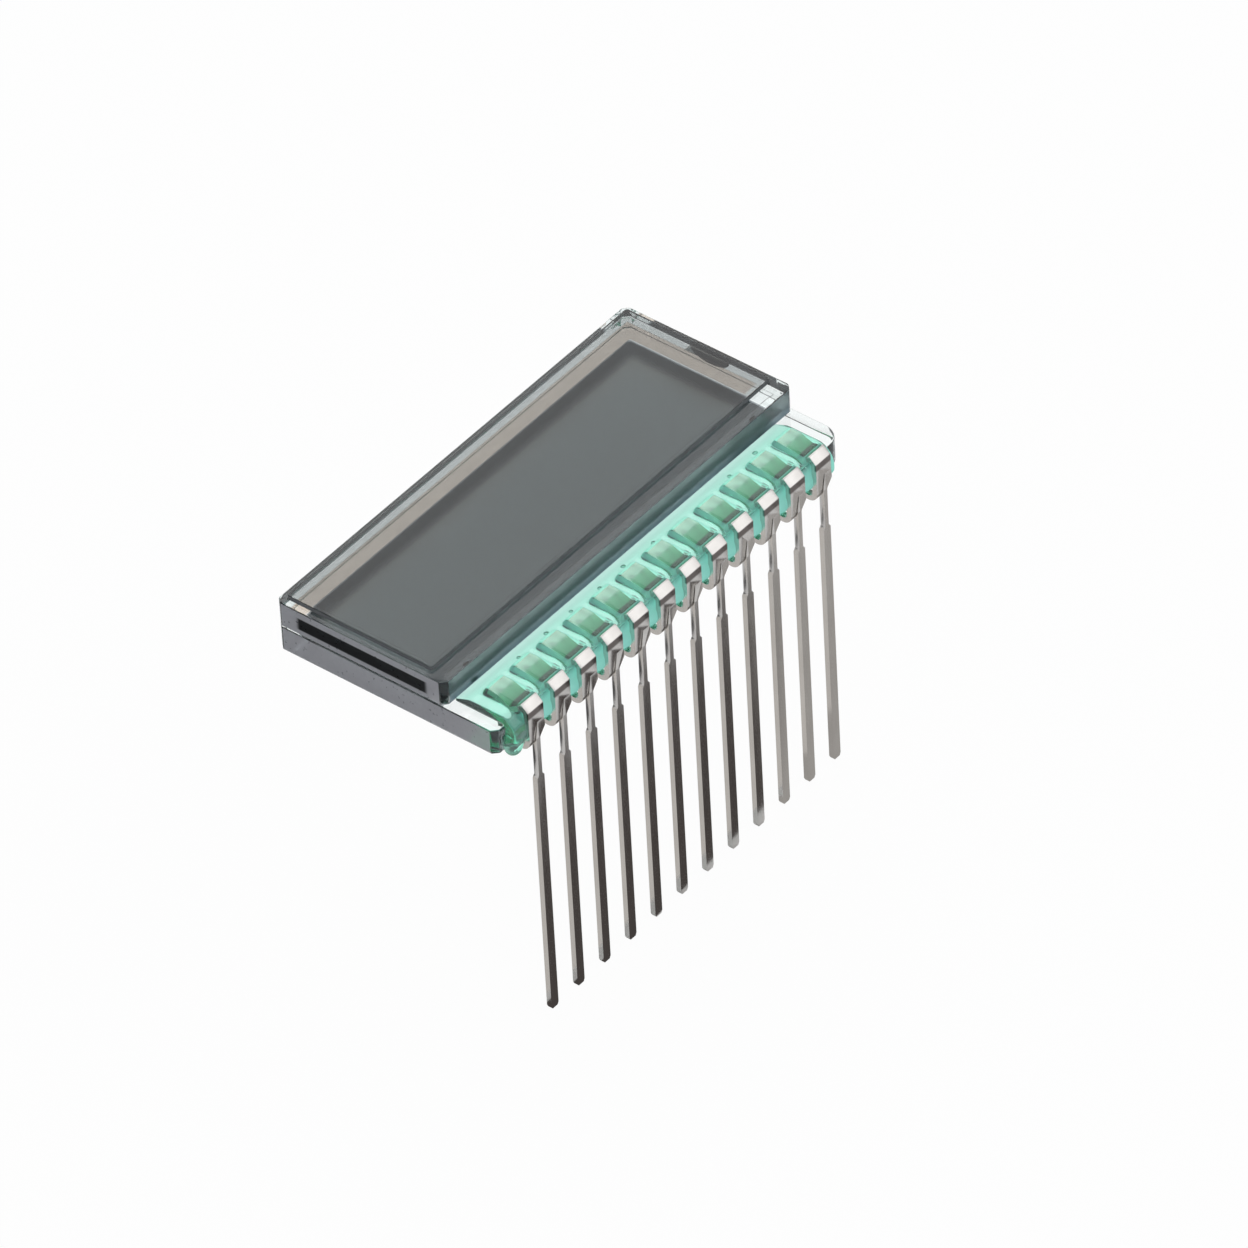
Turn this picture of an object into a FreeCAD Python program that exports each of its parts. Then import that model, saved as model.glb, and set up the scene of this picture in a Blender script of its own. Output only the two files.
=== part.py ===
import FreeCAD, Part
import Sketcher
import math
import os

os.makedirs("parts", exist_ok=True)

# A reflective segment display: two glass plates glued face to face with liquid crystal between them,
# polarising films outside, and twelve sprung contact clips pushed over the edge that the rear plate
# leaves free. Each clip runs down into a straight lead that is soldered into a circuit board.
# Origin: middle of the row of lead tips. X runs along the row, Y from the leads towards the far
# edge of the glass, and Z up out of the viewing face.

doc = FreeCAD.newDocument("segment_display")

# Driving dimensions in millimetres
DIMENSIONS = [
    ("pin_count", 12, "contact clips in the row"),
    ("lead_pitch", 1.5, "distance from one lead to the next"),
    ("lead_reach", 12.9, "from the underside of the rear glass to the lead tips"),
    ("glass_length", 20.0, "both plates, along the row"),
    ("glass_width", 10.0, "rear plate, across the row"),
    ("ledge_depth", 2.25, "strip of the rear plate left free for the clips"),
    ("glass_thickness", 1.1, "one plate"),
    ("cell_gap", 0.03, "between the plates, drawn thicker than the real film"),
    ("row_offset", 0.15, "middle of the glass beyond the middle of the row"),
    ("corner_break", 0.22, "broken corners of the plates"),
    ("corner_round", 0.8, "rounded ledge corner of the rear plate"),
    ("film_margin", 0.3, "front polariser to the glass edges"),
    ("film_setback", 0.8, "front polariser to the clip side of the front plate"),
    ("film_corner", 0.12, "rounded corners of the polarisers"),
    ("front_film", 0.2, "front polariser with its adhesive"),
    ("rear_film", 0.15, "rear polariser with its adhesive"),
    ("mirror_film", 0.08, "reflector behind the rear polariser"),
    ("rear_margin", 0.55, "rear films to the glass edges"),
    ("seal_margin", 0.3, "sealing frame to the glass edges"),
    ("seal_width", 0.7, "line of sealing glue"),
    ("seal_setback", 0.75, "sealing frame to the clip side of the front plate"),
    ("port_width", 1.8, "opening in the frame where the cell was filled"),
    ("plug_bulge", 0.3, "drop of glue that stands out of the filling port"),
    ("silver_dot", 0.4, "silver dots that join the two plates, diameter"),
    ("silver_spread", 8.2, "silver dots from the middle of the glass"),
    ("strip_thickness", 0.22, "tinned bronze strip of the clips"),
    ("bend_radius", 0.05, "corners of the sharply coined bends"),
    ("clip_width", 0.85, "strip at the clip"),
    ("edge_gap", 0.4, "between the glass edge and the back of the leads"),
    ("web_inset", 0.05, "web of the clip behind the plane of the leads"),
    ("contact_inset", 0.24, "contact line from the glass edge"),
    ("crest_overhang", 0.25, "top of the clip beyond the glass edge"),
    ("crest_angle", 34.5, "slope from the contact up to the crest, degrees"),
    ("facet_angle", 45.0, "slope from the crest down to the web, degrees"),
    ("toe_angle", 28.0, "slope from the contact up to the toe, degrees"),
    ("toe_bend", 0.8, "where the toe flattens, from the glass edge"),
    ("toe_end", 1.22, "end of the toe, from the glass edge"),
    ("toe_tip_angle", 8.0, "slope of the last flat of the toe, degrees"),
    ("web_depth", 0.35, "end of the undivided web, below the ledge surface"),
    ("slit_side", 0.05, "top of the slit between lead and jaw, from the middle of the clip"),
    ("slit_width", 0.04, "slit between lead and jaw"),
    ("flank_depth", 0.72, "where the outer flank turns in to the neck, below the ledge surface"),
    ("neck_top", 1.03, "where the flanks reach the neck, below the ledge surface"),
    ("neck_width", 0.2, "narrow neck under the web"),
    ("neck_round", 0.18, "hollow round between flank and neck"),
    ("neck_end", 2.75, "end of the neck, below the ledge surface"),
    ("shoulder_drop", 0.14, "height of the sloping shoulder"),
    ("lead_width", 0.4, "straight lead"),
    ("tip_taper", 0.06, "each side of the cut lead tip"),
    ("heel_radius", 0.3, "bend of the lower jaw under the glass edge, middle of the strip"),
    ("jaw_rise_angle", 9.0, "slope of the jaw from its heel up to the glass, degrees"),
    ("jaw_contact", 0.65, "where the jaw presses on the glass, from its edge"),
    ("jaw_end", 0.98, "end of the jaw, from the glass edge"),
    ("jaw_curl_angle", 23.0, "jaw tip curls away from the glass, degrees"),
    ("paste_diameter", 0.44, "dot of carbon paste under each contact"),
    ("paste_height", 0.04, "thickness of the paste"),
    ("resin_foot", 0.1, "thickness of the resin where it meets the wall of the front plate"),
    ("resin_fall", 0.6, "where the resin starts to fall off, from the wall"),
    ("resin_height", 0.36, "resin over the ledge between the clips"),
    ("resin_nose", 0.5, "resin in front of the glass edge"),
    ("resin_skirt", 1.05, "resin down the glass edge"),
    ("resin_round", 0.3, "rounded front corners of the resin"),
    ("resin_swell", 0.6, "soft round where the resin starts to fall off"),
    ("resin_cover", 0.06, "resin over the toes of the clips"),
    ("resin_side", 0.12, "resin mound beyond the sides and the toe of a clip"),
    ("resin_left", 0.3, "bare ledge at the left end of the resin"),
    ("resin_right", 0.5, "bare ledge at the right end of the resin"),
]
sheet = doc.addObject("Spreadsheet::Sheet", "sizes")
for row, (alias, number, meaning) in enumerate(DIMENSIONS, start=1):
    sheet.set(f"A{row}", meaning)
    sheet.set(f"B{row}", str(number))
    sheet.setAlias(f"B{row}", alias)
doc.recompute()


def size(alias):
    """The value of one driving dimension."""
    return float(sheet.get(alias))


# Expressions for the places that several pieces share
EDGE_Y = "(sizes.edge_gap + sizes.strip_thickness / 2)"
REAR_Z = "sizes.lead_reach"
LEDGE_Z = "(sizes.lead_reach + sizes.glass_thickness)"
FRONT_Z = f"({LEDGE_Z} + sizes.cell_gap)"
LEFT_X = "(sizes.row_offset - sizes.glass_length / 2)"
RIGHT_X = "(sizes.row_offset + sizes.glass_length / 2)"
WALL_Y = f"({EDGE_Y} + sizes.ledge_depth)"
FRONT_WIDTH = "(sizes.glass_width - sizes.ledge_depth)"

# The same places as numbers, for the shapes that are worked out below
edge_y = size("edge_gap") + size("strip_thickness") / 2
ledge_z = size("lead_reach") + size("glass_thickness")
strip = size("strip_thickness")
pin_count = int(size("pin_count"))


def bind(thing, **expressions):
    """Ties properties of an object to cells of the sheet; a double underscore stands for a dot."""
    for name, text in expressions.items():
        thing.setExpression(name.replace("__", "."), text)
    return thing


def place(thing, across, along, up):
    """Ties the place of an object to the sheet."""
    return bind(thing, Placement__Base__x=across, Placement__Base__y=along, Placement__Base__z=up)


def origin_plane(body, role):
    """One of a body's own origin planes."""
    return next(item for item in body.Origin.OriginFeatures if item.Role == role)


def rectangle(body, name, left, near, length, width):
    """A sketch on the body's XY plane with a rectangle whose place and sides follow the sheet."""
    sketch = body.newObject("Sketcher::SketchObject", name)
    sketch.AttachmentSupport = (origin_plane(body, "XY_Plane"), "")
    sketch.MapMode = "FlatFace"
    # A rough rectangle first: the sheet sets the real one
    rough = [FreeCAD.Vector(x, y, 0) for x, y in ((1, 1), (3, 1), (3, 2), (1, 2))]
    for start, end in zip(rough, rough[1:] + rough[:1]):
        sketch.addGeometry(Part.LineSegment(start, end), False)
    for line in range(4):
        sketch.addConstraint(Sketcher.Constraint("Coincident", line, 2, (line + 1) % 4, 1))
    for line, kind in enumerate(("Horizontal", "Vertical", "Horizontal", "Vertical")):
        sketch.addConstraint(Sketcher.Constraint(kind, line))
    spans = [("length", "DistanceX", (0, 1, 0, 2), length), ("width", "DistanceY", (1, 1, 1, 2), width)]
    for axis, kind, value in (("left", "DistanceX", left), ("near", "DistanceY", near)):
        if value == "0":
            point = ("PointOnObject", 0, 1, -2 if kind == "DistanceX" else -1)
            sketch.addConstraint(Sketcher.Constraint(*point))
        else:
            spans.append((axis, kind, (-1, 1, 0, 1), value))
    for label, kind, points, value in spans:
        index = sketch.addConstraint(Sketcher.Constraint(kind, *points, 1.0))
        sketch.renameConstraint(index, label)
        sketch.setExpression(f"Constraints.{label}", value)
    return sketch


def upright_edges(feature, wanted):
    """Names of the upright edges of a feature whose corner passes the test."""
    names = []
    for index, edge in enumerate(feature.Shape.Edges, start=1):
        low, high = edge.Vertexes[0].Point, edge.Vertexes[-1].Point
        upright = abs(low.x - high.x) < 1e-6 and abs(low.y - high.y) < 1e-6
        if upright and wanted(low.x, low.y):
            names.append(f"Edge{index}")
    return names


def plate(label, length, width, thickness):
    """A flat plate as a padded rectangle."""
    body = doc.addObject("PartDesign::Body", label)
    pad = body.newObject("PartDesign::Pad", label + "_pad")
    pad.Profile = rectangle(body, label + "_outline", "0", "0", length, width)
    bind(pad, Length=thickness)
    doc.recompute()
    return body, pad


def dress(body, kind, base, edges, amount, expression):
    """A fillet or chamfer on named edges of a body."""
    feature = body.newObject("PartDesign::" + kind, f"{body.Name}_{kind.lower()}")
    feature.Base = (base, edges)
    bind(feature, **{amount: expression})
    doc.recompute()
    return feature


# Glass plates

rear_glass, rear_pad = plate("rear_glass", "sizes.glass_length", "sizes.glass_width", "sizes.glass_thickness")
right_end = size("glass_length") / 2


def is_ledge_corner(x, y):
    return x > right_end and y < size("ledge_depth")


rounded = dress(rear_glass, "Fillet", rear_pad, upright_edges(rear_pad, is_ledge_corner),
                "Radius", "sizes.corner_round")
square_corners = [(0, 0), (0, size("glass_width")), (size("glass_length"), size("glass_width"))]


def is_square_corner(x, y):
    return any(math.hypot(x - a, y - b) < 1e-6 for a, b in square_corners)


dress(rear_glass, "Chamfer", rounded, upright_edges(rounded, is_square_corner), "Size", "sizes.corner_break")
place(rear_glass, LEFT_X, EDGE_Y, REAR_Z)

front_glass, front_pad = plate("front_glass", "sizes.glass_length", FRONT_WIDTH, "sizes.glass_thickness")
dress(front_glass, "Chamfer", front_pad, upright_edges(front_pad, lambda x, y: True),
      "Size", "sizes.corner_break")
place(front_glass, LEFT_X, WALL_Y, FRONT_Z)

# Polarisers and reflector: films laid on the outer faces of the plates


def film(label, thickness, margin, setback, up):
    """A rectangular film with rounded corners, held in from the edges of the front plate."""
    length = f"sizes.glass_length - 2 * {margin}"
    width = f"{FRONT_WIDTH} - {margin} - {setback}"
    body, pad = plate(label, length, width, thickness)
    dress(body, "Fillet", pad, upright_edges(pad, lambda x, y: True), "Radius", "sizes.film_corner")
    place(body, f"{LEFT_X} + {margin}", f"{WALL_Y} + {setback}", up)
    return body


front_polarizer = film("front_polarizer", "sizes.front_film", "sizes.film_margin", "sizes.film_setback",
                       f"{FRONT_Z} + sizes.glass_thickness")
rear_polarizer = film("rear_polarizer", "sizes.rear_film", "sizes.rear_margin", "sizes.film_setback",
                      f"{REAR_Z} - sizes.rear_film")
reflector = film("reflector", "sizes.mirror_film", "sizes.rear_margin", "sizes.film_setback",
                 f"{REAR_Z} - sizes.rear_film - sizes.mirror_film")

# Sealing frame between the plates, open at the filling port in the middle of the right side

SEAL_LENGTH = "sizes.glass_length - 2 * sizes.seal_margin"
SEAL_WIDTH = f"{FRONT_WIDTH} - sizes.seal_margin - sizes.seal_setback"
perimeter_seal, seal_pad = plate("perimeter_seal", SEAL_LENGTH, SEAL_WIDTH, "sizes.cell_gap")
cell = perimeter_seal.newObject("PartDesign::Pocket", "seal_inside")
cell.Profile = rectangle(perimeter_seal, "seal_inner_outline", "sizes.seal_width", "sizes.seal_width",
                         f"{SEAL_LENGTH} - 2 * sizes.seal_width", f"{SEAL_WIDTH} - 2 * sizes.seal_width")
cell.Type = "ThroughAll"
cell.Midplane = True
doc.recompute()
PORT_Y = f"{FRONT_WIDTH} / 2 - sizes.seal_setback - sizes.port_width / 2"
PORT_CUT = "2 * sizes.seal_width"  # centred on the wall and twice as long as it is wide
port = perimeter_seal.newObject("PartDesign::Pocket", "seal_port")
port.Profile = rectangle(perimeter_seal, "port_outline", f"{SEAL_LENGTH} - 0.75 * {PORT_CUT}", PORT_Y,
                         PORT_CUT, "sizes.port_width")
port.Type = "ThroughAll"
port.Midplane = True
SEAL_X = f"{LEFT_X} + sizes.seal_margin"
SEAL_Y = f"{WALL_Y} + sizes.seal_setback"
place(perimeter_seal, SEAL_X, SEAL_Y, LEDGE_Z)

liquid_crystal, _ = plate("liquid_crystal", f"{SEAL_LENGTH} - 2 * sizes.seal_width",
                          f"{SEAL_WIDTH} - 2 * sizes.seal_width", "sizes.cell_gap")
place(liquid_crystal, f"{SEAL_X} + sizes.seal_width", f"{SEAL_Y} + sizes.seal_width", LEDGE_Z)

# Plug of the filling port: a thin tongue between the plates and a drop of glue outside

tongue = bind(doc.addObject("Part::Box", "plug_tongue"), Length="sizes.seal_margin + sizes.seal_width",
              Width="sizes.port_width", Height="sizes.cell_gap")
place(tongue, f"{RIGHT_X} - sizes.seal_margin - sizes.seal_width",
      f"{WALL_Y} + {FRONT_WIDTH} / 2 - sizes.port_width / 2", LEDGE_Z)
DROP_RADIUS = "((sizes.port_width / 2) ^ 2 + sizes.plug_bulge ^ 2) / (2 * sizes.plug_bulge)"
ball = bind(doc.addObject("Part::Sphere", "plug_ball"), Radius=DROP_RADIUS)
place(ball, f"{RIGHT_X} + sizes.plug_bulge - {DROP_RADIUS}", f"{WALL_Y} + {FRONT_WIDTH} / 2",
      f"{LEDGE_Z} + sizes.cell_gap / 2")
outside = bind(doc.addObject("Part::Box", "plug_outside"), Length="2 * sizes.plug_bulge",
               Width="2 * sizes.port_width", Height="2 * sizes.port_width")
place(outside, RIGHT_X, f"{WALL_Y} + {FRONT_WIDTH} / 2 - sizes.port_width",
      f"{LEDGE_Z} + sizes.cell_gap / 2 - sizes.port_width")
drop = doc.addObject("Part::Common", "plug_drop")
drop.Base, drop.Tool = ball, outside
end_seal = doc.addObject("Part::Fuse", "end_seal")
end_seal.Base, end_seal.Tool = tongue, drop

# Silver dots that carry the common electrode from one plate to the other

DOT_SIDES = 16


def dots(label, parts):
    """Several loose printed dots kept together as one node."""
    group = doc.addObject("Part::Compound", label)
    group.Links = parts
    return group


def dot(name, diameter, height, across, along, up):
    """A thin printed dot as a many-sided prism."""
    part = doc.addObject("Part::Prism", name)
    part.Polygon = DOT_SIDES
    bind(part, Circumradius=f"{diameter} / 2", Height=height)
    return place(part, across, along, up)


transfer_dots = dots("transfer_dots", [
    dot(f"silver_dot_{side}", "sizes.silver_dot", "sizes.cell_gap",
        f"sizes.row_offset {sign} sizes.silver_spread", f"{WALL_Y} + sizes.seal_setback / 2", LEDGE_Z)
    for side, sign in (("left", "-"), ("right", "+"))])

# Clips: each is stamped from one strip. The upper half is bent into a spring that presses on the ledge.
# Below the web a curved slit parts the strip into the lead and a jaw that grips the underside.


def row_place(number):
    """Expression for the place of a pin in the row."""
    return f"({number} - (sizes.pin_count + 1) / 2) * sizes.lead_pitch"


def outline(points, radii):
    """A flat face from its corner points, with an arc in place of each corner whose radius isn't zero."""
    turns = []
    earlier, later = points[-1:] + points[:-1], points[1:] + points[:1]
    for before, corner, after, radius in zip(earlier, points, later, radii):
        back, onward = (before - corner).normalize(), (after - corner).normalize()
        half = back.getAngle(onward) / 2
        if radius == 0:
            turns.append((corner, None, corner))
            continue
        cut = radius / math.tan(half)
        crown = corner + (back + onward).normalize() * (radius / math.sin(half) - radius)
        turns.append((corner + back * cut, crown, corner + onward * cut))
    edges = []
    for (start, crown, end), following in zip(turns, turns[1:] + turns[:1]):
        if crown is not None:
            edges.append(Part.Arc(start, crown, end).toShape())
        edges.append(Part.LineSegment(end, following[0]).toShape())
    return Part.Face(Part.Wire(edges))


def bent_strip(points, bends):
    """Face of the strip seen edge on, from the corners of its middle line. A bend of None is coined
    to a sharp corner, and a number is the radius of the middle line."""
    runs = [(after - before).normalize() for before, after in zip(points, points[1:])]
    normals = [FreeCAD.Vector(0, -run.z, run.y) for run in runs]
    sides = {}
    for side in (1, -1):
        corners = [points[0] + normals[0] * (side * strip / 2)]
        radii = [0]
        for corner, first, second, bend in zip(points[1:-1], normals, normals[1:], bends):
            mitre = (first + second) * (1 / (1 + first.dot(second)))
            corners.append(corner + mitre * (side * strip / 2))
            way = 1 if first.cross(second).x > 0 else -1
            radii.append(size("bend_radius") if bend is None else bend - side * way * strip / 2)
        corners.append(points[-1] + normals[-1] * (side * strip / 2))
        sides[side] = (corners, radii + [0])
    near, far = sides[1], sides[-1]
    return outline(near[0] + far[0][::-1], near[1] + far[1][::-1])


def across_strip(face, left, right):
    """A strip face drawn out across its width."""
    moved = face.copy()
    moved.translate(FreeCAD.Vector(left, 0, 0))
    return moved.extrude(FreeCAD.Vector(right - left, 0, 0))


def spot(inset, height):
    """A point in the plane of the strip: inset from the glass edge, height above the ledge."""
    return FreeCAD.Vector(0, edge_y + inset, ledge_z + height)


def slope(alias):
    return math.tan(math.radians(size(alias)))


def touch(first, second):
    """How far the rounded outside of a bend stands off its middle corner, for the slopes on its two sides."""
    lean = math.radians(size(first) - size(second)) / 2
    half_turn = math.radians(size(first) + size(second)) / 2
    return size("bend_radius") + (strip / 2 - size("bend_radius")) * math.cos(lean) / math.cos(half_turn)


web_line = size("web_inset") - edge_y
jaw_touch = -size("glass_thickness") - touch("jaw_rise_angle", "jaw_curl_angle")
contact_height = size("paste_height") + touch("crest_angle", "toe_angle")


def upper_path():
    """Middle line of the spring from the toe over the contact and the crest to the web."""
    bend_height = contact_height + (size("toe_bend") - size("contact_inset")) * slope("toe_angle")
    toe_height = bend_height + (size("toe_end") - size("toe_bend")) * slope("toe_tip_angle")
    crest_height = contact_height + (size("contact_inset") + size("crest_overhang")) * slope("crest_angle")
    web_top = crest_height + (web_line + size("crest_overhang")) * slope("facet_angle")
    return [spot(size("toe_end"), toe_height), spot(size("toe_bend"), bend_height),
            spot(size("contact_inset"), contact_height), spot(-size("crest_overhang"), crest_height),
            spot(web_line, web_top), spot(web_line, -size("web_depth"))]


def jaw_path():
    """Middle line of the jaw, from the web under the glass edge and up against the glass."""
    heel = jaw_touch - (size("jaw_contact") - web_line) * slope("jaw_rise_angle")
    curl = jaw_touch - (size("jaw_end") - size("jaw_contact")) * slope("jaw_curl_angle")
    return [spot(web_line, -size("web_depth")), spot(web_line, heel),
            spot(size("jaw_contact"), jaw_touch), spot(size("jaw_end"), curl)]


def lead_path():
    """Middle line of the lead, which leans out from the web to the plane of the leads."""
    return [spot(web_line, -size("web_depth")), spot(-edge_y, -size("neck_top")), spot(-edge_y, -ledge_z)]


def seen_from_front(points, radii):
    """A cutting outline across the strip, from places across and heights above the ledge."""
    corners = [FreeCAD.Vector(across, -strip, ledge_z + height) for across, height in points]
    return outline(corners, radii).extrude(FreeCAD.Vector(0, size("glass_width"), 0))


def lead_cut():
    """Outline of the lead: the flanks that run in to the neck, the shoulders and the tip."""
    half_clip, half_neck, half_lead = size("clip_width") / 2, size("neck_width") / 2, size("lead_width") / 2
    web_end, neck_top, neck_end = -size("web_depth"), -size("neck_top"), -size("neck_end")
    shoulder, taper, hollow = neck_end - size("shoulder_drop"), size("tip_taper"), size("neck_round")
    right = [(half_clip, web_end), (half_clip, -size("flank_depth")), (half_neck, neck_top),
             (half_neck, neck_end), (half_lead, shoulder), (half_lead, 2 * taper - ledge_z),
             (half_lead - taper, -ledge_z)]
    left = [(taper - half_lead, -ledge_z), (-half_lead, 2 * taper - ledge_z), (-half_lead, shoulder),
            (-half_neck, neck_end), (-half_neck, neck_top), (size("slit_side"), web_end)]
    return seen_from_front(right + left, [0, 0, hollow, 0, 0, 0, 0, 0, 0, 0, 0, 2 * hollow, 0])


def jaw_cut():
    """Outline of the jaw: the outer side of the strip and the slit."""
    outer, slit = -size("clip_width") / 2, size("slit_width")
    foot = -size("neck_width") / 2 - slit
    below = 2 * jaw_touch
    points = [(outer, -size("web_depth")), (size("slit_side") - slit, -size("web_depth")),
              (foot, -size("neck_top")), (foot, below), (outer, below)]
    return seen_from_front(points, [0, 0, 2 * size("neck_round"), 0, 0])


def clip_solid():
    """One contact clip with its lead, standing at the middle of the row."""
    reach = size("clip_width") / 2
    spring = across_strip(bent_strip(upper_path(), [None] * 4), -reach, reach)
    lead = across_strip(bent_strip(lead_path(), [None]), -reach, reach).common(lead_cut())
    jaw = across_strip(bent_strip(jaw_path(), [size("heel_radius"), None]), -reach, reach).common(jaw_cut())
    return spring.fuse([lead, jaw]).removeSplitter().Solids[0]


clip = clip_solid()
clips = []
for number in range(1, pin_count + 1):
    pin = doc.addObject("Part::Feature", f"clip_pin_{number:02d}")
    pin.Shape = clip
    clips.append(place(pin, row_place(number), "0", "0"))

carbon_paste_dots = dots("carbon_paste_dots", [
    dot(f"paste_dot_{number:02d}", "sizes.paste_diameter", "sizes.paste_height", row_place(number),
        f"{EDGE_Y} + sizes.contact_inset", LEDGE_Z) for number in range(1, pin_count + 1)])

# Resin: cast over the ledge and the springs, open only where it would meet metal, paste or glass


def resin_bead():
    """Section of the bead that runs along the ledge and laps over the edge of the glass."""
    depth, foot, height = size("ledge_depth"), size("resin_foot"), size("resin_height")
    nose, skirt, front = size("resin_nose"), size("resin_skirt"), size("resin_round")
    points = [spot(0, -skirt), spot(0, 0), spot(depth, 0), spot(depth, foot),
              spot(depth - size("resin_fall"), height), spot(-nose, height), spot(-nose, -skirt)]
    return outline(points, [0, 0, 0, 0, size("resin_swell"), front, front])


def resin_mound():
    """Section of the raised resin that buries the contact and the toe of one clip."""
    lip = -size("crest_overhang") / 2
    metal_above = strip / 2 / math.cos(math.radians(size("crest_angle")))
    lip_height = contact_height + (size("contact_inset") - lip) * slope("crest_angle") + metal_above
    top = upper_path()[0].z - ledge_z + strip / 2 + size("resin_cover")
    end = size("toe_end") + size("resin_cover")
    points = [spot(lip, 0), spot(end + size("resin_side"), 0), spot(end, top), spot(size("toe_bend"), top),
              spot(lip, lip_height)]
    return outline(points, [0] * 5)


def row_shift(number):
    """The place of a pin in the row, as a number."""
    return (number - (pin_count + 1) / 2) * size("lead_pitch")


glass_left = size("row_offset") - size("glass_length") / 2
glass_right = size("row_offset") + size("glass_length") / 2
mound_reach = size("clip_width") / 2 + size("resin_side")
mounds = [across_strip(resin_mound(), row_shift(number) - mound_reach, row_shift(number) + mound_reach)
          for number in range(1, pin_count + 1)]
doc.recompute()
keep_out = [pin.Shape for pin in clips] + [carbon_paste_dots.Shape, front_glass.Shape, rear_glass.Shape]
bead = across_strip(resin_bead(), glass_left + size("resin_left"), glass_right - size("resin_right"))
resin = doc.addObject("Part::Feature", "resin_bead")
resin.Shape = max(bead.fuse(mounds).cut(keep_out).removeSplitter().Solids, key=lambda solid: solid.Volume)

# Check and write every node

doc.recompute()
nodes = [front_polarizer, front_glass, perimeter_seal, end_seal, liquid_crystal, transfer_dots, rear_glass,
         rear_polarizer, reflector, carbon_paste_dots, resin] + clips
faults = [thing.Label for thing in doc.Objects if "Invalid" in thing.State or "Error" in thing.State]
faults += [node.Label for node in nodes if node.Shape.isNull() or not node.Shape.isValid()]
if faults:
    raise RuntimeError("these pieces failed: " + ", ".join(faults))
for node in nodes:
    node.Shape.exportStep(f"parts/{node.Label}.step")
    box = node.Shape.BoundBox
    corners = [f"{value:.2f}" for value in (box.XMin, box.XMax, box.YMin, box.YMax, box.ZMin, box.ZMax)]
    print(node.Label, len(node.Shape.Solids), "solid,", round(node.Shape.Volume, 3), "mm3, box", *corners)
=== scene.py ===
# %% [markdown]
# A small reflective segment display, seen from its near left corner.
#
# The real thing is a sandwich: two glass plates with a film of liquid crystal between them, a
# polarising film on each outer face and a reflector behind. Twelve spring clips grip the edge of the
# rear plate that the front one leaves free, and a bead of mint green resin holds them. The solids come
# from the CAD frame, which stays where it is. This file gives them their finish, and replaces the
# pieces whose look needs softer forms than the CAD solids have.

# %% Load the frame
import math
import random

import bmesh
import bpy
from mathutils import Matrix, Vector


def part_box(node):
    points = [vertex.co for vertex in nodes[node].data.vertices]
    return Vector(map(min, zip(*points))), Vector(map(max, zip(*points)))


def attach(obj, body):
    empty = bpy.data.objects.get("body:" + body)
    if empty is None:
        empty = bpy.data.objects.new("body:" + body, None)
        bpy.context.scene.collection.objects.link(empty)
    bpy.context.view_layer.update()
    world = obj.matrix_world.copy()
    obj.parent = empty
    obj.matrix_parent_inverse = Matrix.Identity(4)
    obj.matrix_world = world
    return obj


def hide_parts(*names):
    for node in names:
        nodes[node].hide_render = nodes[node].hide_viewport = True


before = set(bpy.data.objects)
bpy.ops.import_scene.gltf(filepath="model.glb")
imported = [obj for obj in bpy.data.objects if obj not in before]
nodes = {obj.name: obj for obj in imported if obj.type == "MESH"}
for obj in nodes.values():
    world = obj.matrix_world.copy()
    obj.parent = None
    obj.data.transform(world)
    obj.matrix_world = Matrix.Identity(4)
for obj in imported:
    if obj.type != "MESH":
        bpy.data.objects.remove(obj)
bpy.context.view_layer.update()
MM = 0.001
PIN_NAMES = sorted(name for name in nodes if name.startswith("clip_pin_"))
random.seed(12)
print(len(nodes), "nodes,", len(PIN_NAMES), "of them clips")

# %% [markdown]
# Light that crosses the display goes through ten surfaces on the way in and ten on the way out.
# Blender stops at twelve by default and paints the rest black, so the limit is raised first.

# %% Let light cross all the layers
cycles = bpy.context.scene.cycles
cycles.max_bounces = 28
cycles.transmission_bounces = 28
cycles.transparent_max_bounces = 16
cycles.glossy_bounces = 8
cycles.diffuse_bounces = 4

# %% [markdown]
# Every place in this file is worked out from the frame: the box of a node gives its lowest and
# highest corner in metres. The plates, the ledge and the row of clips are named once here. EDGE_Y,
# WALL_Y and LEDGE_Z are in metres. The finishes count in millimetres, so edge_y, wall_y and ledge_z
# hold the same places for them.

# %% Measure the frame
front_low, front_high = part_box("front_glass")
rear_low, rear_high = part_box("rear_glass")
film_low, film_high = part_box("front_polarizer")
backing_low, backing_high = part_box("rear_polarizer")
seal_low, seal_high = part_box("perimeter_seal")
crystal_low, crystal_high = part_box("liquid_crystal")
resin_low, resin_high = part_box("resin_bead")
LEDGE_Z = rear_high.z
EDGE_Y = rear_low.y
WALL_Y = front_low.y
pin_x = [(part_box(name)[0].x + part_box(name)[1].x) / 2 for name in PIN_NAMES]
PITCH = pin_x[1] - pin_x[0]
CLIP_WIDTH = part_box(PIN_NAMES[0])[1].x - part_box(PIN_NAMES[0])[0].x
TOE_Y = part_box(PIN_NAMES[0])[1].y
edge_y, wall_y, ledge_z = EDGE_Y / MM, WALL_Y / MM, LEDGE_Z / MM
print("pitch", round(PITCH / MM, 3), "mm, ledge", round(wall_y - edge_y, 3), "mm deep")

# %% [markdown]
# A material is a graph of nodes, and arithmetic in such a graph is hard to read as a list of links.
# The small class below wraps a socket, so that shader maths is written as plain Python: each
# operator adds one Math node. Every other node comes from the method `node` of a palette.

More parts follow.
